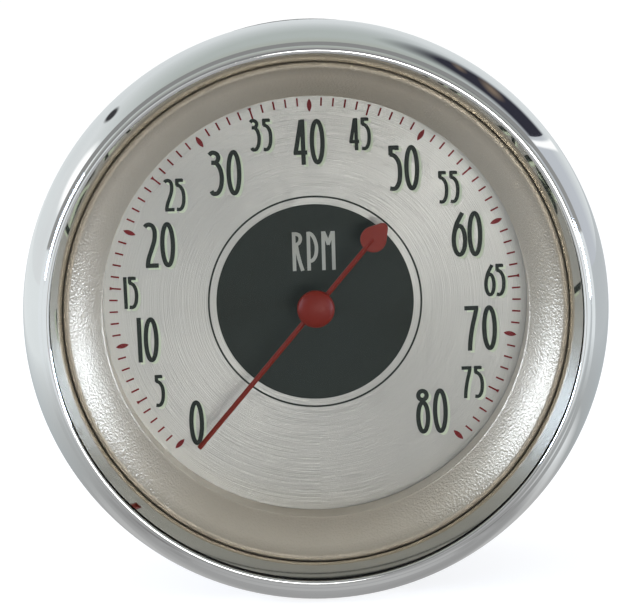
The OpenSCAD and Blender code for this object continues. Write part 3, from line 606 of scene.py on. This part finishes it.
# %% The strokes of each character
STROKES = {
    "0": [("loop", (0.16, 0.5), (0.116, 0.456))],
    "1": [("line", (0.06, 0.0), (0.045, 1.0))],
    "2": [("bow", (0.02, 0.905), (0.06, 0.945), (0.13, 0.955), (0.20, 0.905), (0.235, 0.79), (0.22, 0.60),
           (0.155, 0.40), (0.10, 0.25), (0.07, 0.13), (0.06, 0.03)),
          ("line", (0.015, 0.045), (0.30, 0.045))],
    "3": [("bow", (0.03, 0.905), (0.08, 0.95), (0.145, 0.95), (0.205, 0.91), (0.228, 0.845), (0.21, 0.78),
           (0.16, 0.735), (0.07, 0.735)),
          ("bow", (0.16, 0.745), (0.24, 0.64), (0.282, 0.50), (0.29, 0.36), (0.265, 0.19), (0.20, 0.07),
           (0.13, 0.045), (0.085, 0.06), (0.055, 0.11))],
    "4": [("line", (0.215, 0.0), (0.205, 1.0)), ("line", (0.175, 0.985), (0.04, 0.25)),
          ("line", (0.0, 0.27), (0.30, 0.27))],
    "5": [("line", (0.01, 0.955), (0.215, 0.955)), ("line", (0.05, 0.995), (0.05, 0.79)),
          ("line", (0.185, 0.995), (0.185, 0.90)),
          ("bow", (0.035, 0.81), (0.11, 0.785), (0.18, 0.715), (0.23, 0.60), (0.248, 0.42), (0.23, 0.22),
           (0.175, 0.09), (0.11, 0.045), (0.02, 0.055))],
    "6": [("bow", (0.245, 0.975), (0.18, 0.86), (0.115, 0.73), (0.07, 0.58), (0.045, 0.42), (0.043, 0.33)),
          ("loop", (0.168, 0.365), (0.125, 0.32))],
    "7": [("line", (0.0, 0.952), (0.31, 0.952)),
          ("bow", (0.262, 0.93), (0.225, 0.76), (0.175, 0.56), (0.135, 0.34), (0.112, 0.15), (0.105, 0.0))],
    "8": [("loop", (0.148, 0.858), (0.092, 0.098)), ("loop", (0.152, 0.372), (0.108, 0.328))],
    "R": [("line", (0.047, 0.0), (0.047, 1.0)),
          ("bow", (0.03, 0.955), (0.12, 0.95), (0.19, 0.91), (0.215, 0.83), (0.19, 0.74), (0.12, 0.68),
           (0.06, 0.665)),
          ("bow", (0.105, 0.69), (0.13, 0.50), (0.19, 0.22), (0.255, 0.0))],
    "P": [("line", (0.047, 0.0), (0.047, 1.0)),
          ("bow", (0.03, 0.955), (0.10, 0.95), (0.18, 0.86), (0.235, 0.70), (0.248, 0.55), (0.225, 0.39),
           (0.165, 0.285), (0.10, 0.245), (0.05, 0.24))],
    "M": [("line", (0.047, 0.0), (0.047, 1.0)), ("line", (0.303, 0.0), (0.303, 1.0)),
          ("line", (0.06, 0.99), (0.185, 0.655)), ("line", (0.29, 0.99), (0.165, 0.655))],
}
print("characters drawn:", len(STROKES))

# %% [markdown]
# Type has two widths: how far the pen moves on from one character to the next, and how far the ink
# itself reaches. The second one counts at the end of a word, so that the word can be centred.

# %% The widths of the characters
ADVANCE = {"0": 0.362, "1": 0.145, "2": 0.35, "3": 0.40, "4": 0.362, "5": 0.345, "6": 0.35, "7": 0.385,
           "8": 0.375, "R": 0.372, "P": 0.378, "M": 0.35}
INKED = {"0": 0.32, "1": 0.105, "2": 0.30, "3": 0.335, "4": 0.30, "5": 0.295, "6": 0.335, "7": 0.31,
         "8": 0.305, "R": 0.30, "P": 0.295, "M": 0.35}


def word_width(word):
    """Width of a word in cells, from the first stroke's left side to the last one's right."""
    return sum(ADVANCE[sign] for sign in word[:-1]) + INKED[word[-1]]


print("the unit's letters are", round(word_width("RPM"), 2), "cells wide")

# %% The pen
LOOP_STEPS = 48


def smooth_way(spots):
    """A curve through points, four steps to each stretch, that leaves each point evenly."""
    ends = [2 * spots[0] - spots[1]] + spots + [2 * spots[-1] - spots[-2]]
    way = [spots[0]]
    for before, start, stop, after in zip(ends, ends[1:], ends[2:], ends[3:]):
        for step in (0.25, 0.5, 0.75, 1):
            rest = 1 - step
            pull = (stop - before) * step * rest ** 2 / 2 - (after - start) * step * step * rest / 2
            way.append(start.lerp(stop, step * step * (3 - 2 * step)) + pull)
    return way


def centre_line(kind, spots):
    """The points in the middle of a stroke."""
    if kind == "loop":
        (x, y), (wide, tall) = spots
        turns = [math.tau * step / LOOP_STEPS for step in range(LOOP_STEPS)]
        return [Vector((x + wide * math.cos(turn), y + tall * math.sin(turn))) for turn in turns]
    spots = [Vector(spot) for spot in spots]
    return spots if kind == "line" else smooth_way(spots)


def draw(shape, kind, spots, origin, height, width, sunk):
    """Adds one stroke to the sheet as a flat ribbon, sunk a little into the plate."""
    line = [origin + height * spot for spot in centre_line(kind, spots)]
    closed = kind == "loop"
    corners = []
    for place, spot in enumerate(line):
        before = line[place - 1] if closed or place else spot
        after = line[(place + 1) % len(line)] if closed or place + 1 < len(line) else spot
        side = (after - before).normalized().orthogonal() * width / 2
        corners.append([shape.verts.new((*(spot + way * side), -sunk)) for way in (1, -1)])
    for one, other in zip(corners, corners[1:] + corners[:1] * closed):
        shape.faces.new((one[0], one[1], other[1], other[0]))


def write(name, words, height, width, thickness, finish, shift=(0, 0)):
    """Prints words, a dictionary of their centres in millimetres, as one piece."""
    layer_step = 0.004 * MM
    sheet = bmesh.new()
    for word, centre in words.items():
        corner = MM * Vector(centre) + Vector(shift) - height / 2 * Vector((word_width(word), 1))
        for sign in word:
            for layer, (kind, *spots) in enumerate(STROKES[sign]):
                draw(sheet, kind, spots, corner, height, width, layer * layer_step)
            corner.x += ADVANCE[sign] * height
    bmesh.ops.recalc_face_normals(sheet, faces=sheet.faces)
    raise_up(sheet, sheet.faces[:], thickness)
    piece(name, sheet, finish, matrix=upright)


# %% [markdown]
# Each numeral has its place on the dial, given here by the middle of the word, in millimetres to the
# right of the axis and above it. The tens are large and the fives between them small. Strokes that
# cross lie in layers a few micrometres apart, so that no two faces share one plane.

# %% Print the numerals and the letters
LARGE = {"0": (-26.95, -26.2), "10": (-37.05, -7.3), "20": (-33.7, 13.75), "30": (-18.9, 29.2),
         "40": (-0.3, 35.45), "50": (20.3, 29.05), "60": (33.75, 14.0), "70": (36.3, -7.05),
         "80": (25.05, -25.3)}
SMALL = {"5": (-34.8, -18.8), "15": (-40.4, 3.3), "25": (-30.0, 24.7), "35": (-10.75, 37.3),
         "45": (10.9, 36.85), "55": (30.05, 24.5), "65": (39.65, 3.55), "75": (34.25, -19.1)}
UNIT = {"RPM": (0.05, 11.3)}
large_height = 10.0 * MM
small_height = 7.1 * MM
unit_height = 8.6 * MM
pale_height = 0.03 * MM
dark_height = 0.06 * MM
letter_height = 0.09 * MM
pale_shift = (0.55 * MM, -0.45 * MM)
write("large_shadows", LARGE, large_height, 0.95 * MM, pale_height, pale_ink, pale_shift)
write("small_shadows", SMALL, small_height, 0.75 * MM, pale_height, pale_ink, pale_shift)
write("large_numerals", LARGE, large_height, 0.97 * MM, dark_height, dark_ink)
write("small_numerals", SMALL, small_height, 0.78 * MM, dark_height, dark_ink)
write("dial_letters", UNIT, unit_height, 0.78 * MM, letter_height, letter_ink)

# %% [markdown]
# ## Rings of chrome
# A mirror shows every flat facet of its mesh, so the two chrome rings are made anew with many more
# steps than the construction model needs. On the real gauge both are spun over a form on a lathe, and
# so they are here: half an outline goes once round the axis. A point of the outline is a distance from
# the axis and a height in front of the panel, in millimetres.

# %% Spin a sheet
SPIN_STEPS = 240
SHARP = math.radians(28)


def arc(centre, reach, start, stop, steps):
    """Points on the arc of an ellipse, from one angle to another in degrees."""
    angles = [math.radians(start + (stop - start) * step / steps) for step in range(steps + 1)]
    return [(centre[0] + reach[0] * math.cos(angle), centre[1] + reach[1] * math.sin(angle))
            for angle in angles]


def spun_sheet(node, outline, thick, finish):
    """A sheet that follows the outline on its outer side, in place of a node."""
    shape = bmesh.new()
    corners = [shape.verts.new((far * MM, -high * MM, 0)) for far, high in outline]
    line = [shape.edges.new(pair) for pair in zip(corners, corners[1:])]
    bmesh.ops.spin(shape, geom=corners + line, cent=(0, 0, 0), axis=(0, 1, 0), angle=math.tau,
                   steps=SPIN_STEPS, use_merge=True)
    bmesh.ops.remove_doubles(shape, verts=shape.verts, dist=WELD)
    bmesh.ops.recalc_face_normals(shape, faces=shape.faces)
    bmesh.ops.solidify(shape, geom=shape.faces[:], thickness=thick * MM)
    for edge in shape.edges:
        edge.smooth = not edge.is_manifold or edge.calc_face_angle() < SHARP
    made = piece(node + "_spun", shape, finish, smooth=True)
    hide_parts(node)


# %% [markdown]
# The bezel's outline starts at the rolled edge that rests on the panel. It goes round the rear corner
# to the widest place, up the wide curved band to a narrow flat ledge, up a small step, and over the
# crowned lip to the window. Only its outer size comes from the construction model's box. Of the other
# values, those that end in fall, the step, and the height at which it is widest are measured along
# the axis, and the rest across it.

# %% The bezel
bezel_low, bezel_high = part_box("bezel")
bezel_far = bezel_high.x / MM
bezel_top = -bezel_low.y / MM
sheet_thick = 0.6
rear_edge = 4.1
rear_round = 1.8
widest = 3.5
band_reach = 9.0
ledge = 0.75
step = 1.1
fall = 0.2
lip = 1.7
lip_fall = 0.65
lip_edge = 0.65
edge_fall = 0.35
rim = 6.1
window = bezel_far - rim
step_far = window + lip
crown = window + lip_edge
band_centre = bezel_far - band_reach
band_top = bezel_top - step - fall
band_turn = math.degrees(math.acos((step_far + ledge - band_centre) / band_reach))
band_rise = (band_top - widest) / math.sin(math.radians(band_turn))
bezel_outline = (
    [(bezel_far - rear_edge, 0)]
    + arc((bezel_far - rear_round, widest), (rear_round, widest), -90, 0, 12)
    + arc((band_centre, widest), (band_reach, band_rise), 0, band_turn, 36)[1:]
    + [(step_far, band_top + fall)]
    + arc((crown, bezel_top - lip_fall), (step_far - crown, lip_fall), 0, 90, 16)
    + arc((crown, bezel_top - edge_fall), (crown - window, edge_fall), 90, 180, 12)[1:]
    + [(window, bezel_top - sheet_thick)])
spun_sheet("bezel", bezel_outline, sheet_thick, bezel_chrome)

# %% [markdown]
# The reflector ring hangs under the lip. Its conical wall leans inwards from the window down to the
# trim ring. At its top it turns outwards into a flange, whose edge is turned down.

# %% The reflector ring
ring_low, ring_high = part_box("reflector_ring")
ring_front = -ring_low.y / MM
wall_gap = 0.1
wall_lean = 2.44
wall_depth = 5.45
mirror_foot = (window - wall_lean, ring_front - wall_depth)
mirror_top = (window - wall_gap, ring_front)
ring_far = ring_high.x / MM
ring_outline = [mirror_foot, mirror_top, (ring_far, ring_front), (ring_far, -ring_high.y / MM)]
spun_sheet("reflector_ring", ring_outline, sheet_thick, reflector_chrome)

# %% [markdown]
# ## Threads
# The studs behind the case hold the gauge in its panel. Each is turned from one bar: a neck that goes
# through the circuit board, a thick body between the board and the case, a shoulder in the case's
# hole, and the free end. Its outline spins once round the stud's axis. The thread on the free end is a
# narrow four-sided ridge that spins many times and climbs by one pitch in every turn. Its foot is sunk
# a little into the core.

# %% Ways to turn a stud and to cut its thread
THREAD_STEPS = 24


def turned_stud(shape, x, outline):
    """Spins an outline of (distance from the stud's axis, distance behind the panel), in metres."""
    corners = [shape.verts.new((x + far, along, 0)) for far, along in outline]
    line = [shape.edges.new(pair) for pair in zip(corners, corners[1:])]
    bmesh.ops.spin(shape, geom=corners + line, cent=(x, 0, 0), axis=(0, 1, 0), angle=math.tau,
                   steps=40, use_merge=True)


def thread(shape, x, start, stop, core, reach, pitch):
    """A ridge that winds round the axis at x, from start to stop behind the panel."""
    turns = (stop - start) / pitch - 1
    steps = int(THREAD_STEPS * turns)
    foot = core - 0.1 * MM
    profile = ((foot, 0), (reach, 0.4 * pitch), (reach, 0.5 * pitch), (foot, 0.9 * pitch))
    corners = [shape.verts.new((x + far, start + along, 0)) for far, along in profile]
    ridge = shape.faces.new(corners)
    climb = (0, pitch * turns / steps, 0)
    bmesh.ops.spin(shape, geom=[ridge], cent=(x, 0, 0), axis=(0, 1, 0), dvec=climb,
                   angle=math.tau * turns, steps=steps)


# %% The two mounting studs
stud_low, stud_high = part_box("mounting_studs")
board_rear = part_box("circuit_board")[1].y
case_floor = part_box("case")[1].y - 1.0 * MM
stud_apart = 64 * MM
neck = 1.9 * MM
body = 4.0 * MM
shoulder = 3.0 * MM
stud_reach = 2.41 * MM
pitch = 0.79 * MM
stud_core = stud_reach - 0.5 * MM
nose = 0.5 * MM
shoulder_end = stud_high.y - 20 * MM
stud_outline = [
    (0, stud_low.y), (neck, stud_low.y), (neck, board_rear), (body, board_rear), (body, case_floor),
    (shoulder, case_floor), (shoulder, shoulder_end), (stud_core, shoulder_end),
    (stud_core, stud_high.y - nose), (stud_core - nose, stud_high.y), (0, stud_high.y)]
studs = bmesh.new()
for x in (-stud_apart / 2, stud_apart / 2):
    turned_stud(studs, x, stud_outline)
    thread(studs, x, shoulder_end + 0.2 * MM, stud_high.y - nose, stud_core, stud_reach, pitch)
threaded = piece("threaded_studs", studs, behind["mounting_studs"])
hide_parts("mounting_studs")

# %% [markdown]
# ## The studio
# The gauge stands upright on a pale floor, which shows three faces. The camera sees it glow nearly
# white, with enough of its paint left to keep a faint shadow. Light that bounces off it on to the
# gauge meets a plain grey, so that the gauge isn't lit from below. And chrome, which has no colour of
# its own, sees a painted reflection: soft patches of painted light and shade, as of a real room.

# %% The floor's paint, and which rays see it
def oval(net, place, spin, reach, soft):
    """An oval patch at a place: 1 inside, fading to 0 at its edge."""
    here = net.node("ShaderNodeTexCoord", {}, {}, "Object")
    flat = net.node("ShaderNodeMapping", {"vector_type": "TEXTURE"}, {
        "Vector": here, "Location": place, "Rotation": spin, "Scale": reach})
    ball = net.node("ShaderNodeTexGradient", {"gradient_type": "SPHERICAL"}, {0: flat}, "Fac")
    return net.fade(ball, 0, soft)


floor_level = bezel_low.z
floor_paint = Finish("floor_paint", (0.45, 0.45, 0.45), rough=0.9, Specular_IOR_Level=0.0)
ray = floor_paint.node("ShaderNodeLightPath").socket.node.outputs
in_camera = Signal(floor_paint, ray["Is Camera Ray"])
in_chrome = Signal(floor_paint, ray["Is Glossy Ray"])
floor_paint.set("Base Color", floor_paint.mix(in_camera, (0.38, 0.38, 0.38, 1), (0.95, 0.95, 0.95, 1)))
print("the floor lies at", round(floor_level / MM, 1), "mm")

# %% [markdown]
# What the chrome sees of the floor is a painted reflection, laid on in coats. Places are counted in
# quarters of a metre, to the right of the gauge and behind it. It is lighter to the left than to the
# right. Two dark ovals under the gauge are painted shadow that stands for its own shade, a bright one
# to its right is a painted patch of light, and painted streaks along its middle line give the top and
# the bottom of the bezel their fine grey lines.

# %% The floor in the chrome
floor_x, floor_y, _ = floor_paint.place((4, 4, 4)).parts()
off_middle = floor_x * floor_x
under = floor_paint.mix(floor_paint.fade(floor_y, 0, 0.6), (0.40, 0.41, 0.41, 1), (0.42, 0.46, 0.48, 1))
coats = [
    (floor_paint.fade(0 - floor_x, 0.3, 1.0), (0.82, 0.86, 0.87)),
    (floor_paint.fade(floor_x, 0.3, 1.0), (0.54, 0.57, 0.59))]
# Painted shadow: two dark ovals, seen only in the chrome, that stand for the gauge's shade.
for side in (-1, 1):
    painted_shadow_place = (side * 50 * MM, -20 * MM, floor_level)
    shade = oval(floor_paint, painted_shadow_place, (0, 0, math.radians(side * 32)), (20 * MM, 10 * MM, 1), 0.6)
    coats.append((0.85 * shade, (0.14, 0.17, 0.17)))
# Painted light: a bright oval to the right, seen only in the chrome.
painted_light_place = (95 * MM, -4 * MM, floor_level)
coats.append((oval(floor_paint, painted_light_place, (0, 0, 0), (40 * MM, 45 * MM, 1), 0.8), (0.82, 0.84, 0.85)))
under = floor_paint.coats(under, coats)

flanks = floor_paint.fade(off_middle, 0.015, 0.05)
front = floor_paint.mix(flanks, (0.46, 0.47, 0.45, 1), (0.84, 0.88, 0.90, 1))
under = floor_paint.mix(floor_paint.fade(0 - floor_y, 0.45, 0.95), under, front)

# Painted reflection: grey streaks along the middle line, seen only in the chrome.
streaks = floor_paint.noise(0.03, floor_paint.place((0.12, 1, 1)), 2.0)
grey = floor_paint.node("ShaderNodeRGBToBW", {}, {0: under})
striped = floor_paint.mix(floor_paint.fade(streaks, 0.40, 0.62), 0.8 * grey, 1.24 * grey)
under = floor_paint.mix(floor_paint.fade(off_middle, 0.05, 0.12), striped, under)
print("the floor in the chrome has", len(coats) + 2, "coats")

# %% The floor
floor_white = (1.26, 1.26, 1.26, 1)
glow_share = 0.62
glow_colour = floor_paint.mix(in_camera, under, floor_white)
glow = floor_paint.node("ShaderNodeEmission", {}, {"Color": glow_colour, "Strength": 1.0})
painted = Signal(floor_paint, floor_paint.shader.outputs[0])
glowing = glow_share * in_camera + in_chrome
floor_paint.feed(floor_paint.output.inputs["Surface"],
                 floor_paint.node("ShaderNodeMixShader", {}, {0: glowing, 1: painted, 2: glow}))

floor_shape = bmesh.new()
bmesh.ops.create_grid(floor_shape, x_segments=1, y_segments=1, size=6.0)
floor_mesh = bpy.data.meshes.new("floor")
floor_shape.to_mesh(floor_mesh)
floor_shape.free()
floor_mesh.transform(Matrix.Translation((0, 0, floor_level)))
floor_mesh.materials.append(floor_paint.material)
floor = bpy.data.objects.new("floor", floor_mesh)
bpy.context.scene.collection.objects.link(floor)
print("the floor's paint has", len(floor_paint.tree.nodes), "nodes")

# %% [markdown]
# The room is painted into the sky in the same way, only for the rays that leave a shiny surface. The
# camera sees white there, and the light itself comes from a plain grey dome. A direction in the room
# is given as on a clock that the reader sees round the dial, together with its angle away from the
# reader: 90 degrees is beside the gauge, 180 right behind it.

# %% Directions and patches in the room
def heading(clock, away):
    """The direction at an angle clockwise from the top and an angle away from the reader."""
    clock = math.radians(clock)
    away = math.radians(away)
    return Vector((math.sin(away) * math.sin(clock), -math.cos(away), math.sin(away) * math.cos(clock)))


def patch(net, clock, away, wide, deep, turn=0, soft=0.5):
    """An oval patch, wide and deep in degrees: 1 inside, fading to 0 at its edge."""
    outward = heading(clock, away)
    round_dial = Vector((math.cos(math.radians(clock)), 0, -math.sin(math.radians(clock))))
    stand = Matrix((round_dial, outward.cross(round_dial), outward)).transposed()
    spin = (stand @ Matrix.Rotation(math.radians(turn), 3, "Z")).to_euler()
    return oval(net, outward, spin, (math.radians(wide), math.radians(deep), 1), soft)


# %% The walls and the ceiling
world = bpy.data.worlds.new("studio")
bpy.context.scene.world = world
world.use_nodes = True
sky = Net(world.node_tree)
towards = sky.node("ShaderNodeTexCoord", {}, {}, "Object")
across, beyond, rise = towards.parts()
side_walls = sky.mix(sky.fade(0.5 + 0.5 * across, 0.25, 0.75), (0.84, 0.87, 0.88, 1), (0.60, 0.63, 0.68, 1))
walls = sky.coats(side_walls, (
    (sky.fade(beyond, 0.55, 0.85), (0.80, 0.84, 0.85)),
    (sky.fade(rise, 0.45, 0.85), (0.50, 0.545, 0.525)),
    (sky.fade(rise - 1.2 * beyond, 0.65, 1.0), (0.46, 0.49, 0.44)),
    (sky.fade(0 - beyond, 0.3, 0.85), (0.38, 0.38, 0.37)),
    (patch(sky, 0, 12, 50, 26, soft=0.9), (0.20, 0.20, 0.20)),
    (0.25 * sky.noise(0.6, towards, 3.0), (0.4, 0.42, 0.44))))
print("the walls are painted")

# %% [markdown]
# Behind the gauge and to the right is a dark doorway. It ends at a straight edge, along which runs a
# thin line of daylight. Two thin brown lines cross it, a small dark thing hangs on the left wall, and
# beside it is a bright opening.

# %% The doorway and what hangs on the walls
BROWN = (0.26, 0.20, 0.15)
edge_clock = math.radians(58)
from_edge = rise * math.sin(edge_clock) - across * math.cos(edge_clock) + 0.11 * beyond
doorway = patch(sky, 60, 117, 38, 24, soft=0.35) * from_edge.over(0)
daylight = sky.ramp(0.5 + from_edge, [(0.445, 0), (0.455, 1), (0.475, 1), (0.485, 0)])
room = sky.coats(walls, (
    (doorway, (0.035, 0.035, 0.05)),
    (0.8 * patch(sky, 47, 122, 3.5, 15, soft=0.8), BROWN),
    (0.6 * patch(sky, 38, 124, 2, 10, soft=0.8), BROWN),
    (patch(sky, 309, 127, 2.2, 11, turn=4, soft=0.4), (0.05, 0.05, 0.055)),
    (patch(sky, 295, 98, 10, 16), (1.3, 1.3, 1.3)),
    (daylight * patch(sky, 62, 122, 20, 30, soft=0.2), (1.2, 1.2, 1.2))))
print("the room is painted")

# %% Which rays see the room, the white and the dome
ray = sky.node("ShaderNodeLightPath").socket.node.outputs
overhead_light = sky.ramp(0.5 + 0.5 * rise, [(0.3, 0.10), (0.9, 0.78)])
dome = sky.node("ShaderNodeBackground", {}, {"Color": overhead_light, "Strength": 1.0})
mirrored = sky.node("ShaderNodeBackground", {}, {"Color": room, "Strength": 1.0})
white = sky.node("ShaderNodeBackground", {}, {"Color": (1, 1, 1, 1), "Strength": 1.0})
lit = sky.node("ShaderNodeMixShader", {}, {0: Signal(sky, ray["Is Glossy Ray"]), 1: dome, 2: mirrored})
shown = sky.node("ShaderNodeMixShader", {}, {0: Signal(sky, ray["Is Camera Ray"]), 1: lit, 2: white})
sky.node("ShaderNodeOutputWorld", {}, {"Surface": shown}, None)
print("the sky has", len(sky.tree.nodes), "nodes")


# %% [markdown]
# Three soft lamps: one in front and a little to the right, which throws the pointer's shadow, and one
# on either side, low over the rim. Each of those two makes the brushed dial shine, and the pebbled
# ring on the far side of it.

# %% Lamps
def lamp(name, spot, size, power, colour):
    """A soft oval lamp, so wide and so high, that looks at the middle of the gauge."""
    light = bpy.data.lights.new(name, "AREA")
    light.shape = "ELLIPSE"
    light.size, light.size_y = size
    light.energy = power
    light.color = colour
    held = bpy.data.objects.new(name, light)
    bpy.context.scene.collection.objects.link(held)
    held.location = spot
    held.rotation_euler = (-Vector(spot)).to_track_quat("-Z", "Y").to_euler()
    print(name, "is", round(spot.length, 2), "m away")


WARM = (1.0, 0.99, 0.97)
COOL = (0.74, 0.89, 1.15)
lamp("front_lamp", 1.2 * heading(98, 14), (0.62, 0.36), 5.0, WARM)
lamp("left_lamp", 1.0 * heading(284, 73), (0.44, 0.44), 11.5, COOL)
lamp("right_lamp", 0.6 * heading(89, 73), (0.3, 0.2), 4.7, COOL)

# %% [markdown]
# ## The camera
# It looks at the dial from a metre away and nine and a half degrees above, through a long lens, and
# leans a little to one side, so the whole dial seems turned by nearly two degrees.

# %% Camera
camera_spot = Vector((-12.57 * MM, dial_front - 0.9915, 165.9 * MM))
aim_spot = Vector((-0.94 * MM, dial_front, -1.14 * MM))
lean = math.radians(1.748)
ahead = (aim_spot - camera_spot).normalized()
level = ahead.cross(Vector((0, 0, 1))).normalized()
above = level.cross(ahead)
right_hand = level * math.cos(lean) - above * math.sin(lean)
overhead = right_hand.cross(ahead)
lens = bpy.data.cameras.new("camera")
lens.sensor_width = 36
lens.lens = 264.6
lens.clip_start = 0.01
lens.clip_end = 30
camera = bpy.data.objects.new("camera", lens)
bpy.context.scene.collection.objects.link(camera)
camera_axes = Matrix((right_hand, overhead, -ahead)).transposed().to_4x4()
camera.matrix_world = Matrix.Translation(camera_spot) @ camera_axes
bpy.context.scene.camera = camera
bpy.context.scene.view_settings.view_transform = "Standard"
print("the camera is", round((aim_spot - camera_spot).length, 3), "m from the dial")
